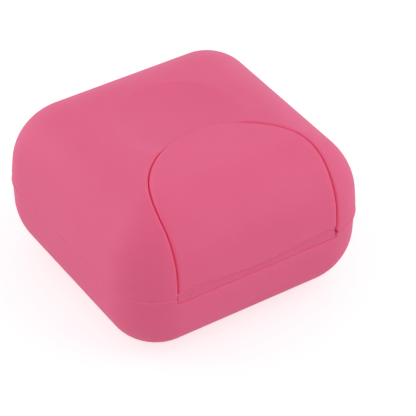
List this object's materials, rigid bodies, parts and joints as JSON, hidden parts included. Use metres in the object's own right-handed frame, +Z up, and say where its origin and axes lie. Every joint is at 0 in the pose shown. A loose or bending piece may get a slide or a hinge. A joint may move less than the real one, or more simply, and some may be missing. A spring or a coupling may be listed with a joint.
{
  "type": "travel soap box",
  "caption": "Square pillow-shaped travel soap box with a hinged domed lid, a flush tongue latch on the front, a lid seal and a lift-out drain rack.",
  "frame": {"origin": "middle of the underside, halfway between the box's sides and halfway between its front and its back wall without the hinge knuckles", "axes": "+Z up, -Y towards the front with the latch, +Y towards the hinge, X along the hinge"},
  "size_m": [0.066, 0.0671, 0.04],
  "materials": {
    "pink_shell": "fine satin",
    "pink_rack": "fine satin",
    "silicone_seal": "matte",
    "steel_pin": "drawn"
  },
  "bodies": {
    "base": {"base_shell": "pink_shell", "lid_pin": "steel_pin", "seal_ring": "silicone_seal"},
    "lid": {"lid_shell": "pink_shell"},
    "latch": {"latch_tongue": "pink_shell", "latch_pin": "steel_pin"},
    "rack": {"drain_rack": "pink_rack"}
  },
  "joints": [
    {"name": "lid_hinge", "type": "hinge", "parent": "base", "child": "lid", "pos_m": [0, 0.0331, 0.0193], "axis": [-1, 0, 0], "range_deg": [0, 45]},
    {"name": "latch_hinge", "type": "hinge", "parent": "base", "child": "latch", "pos_m": [0, -0.0309, 0.0186], "axis": [1, 0, 0], "range_deg": [0, 100]},
    {"name": "rack_lift", "type": "slide", "parent": "base", "child": "rack", "axis": [0, 0, 1], "range_m": [0, 0.016]}
  ],
  "couplings": [
    {"joint": "latch_hinge", "follows": "lid_hinge", "ratio": 2.2222}
  ]
}
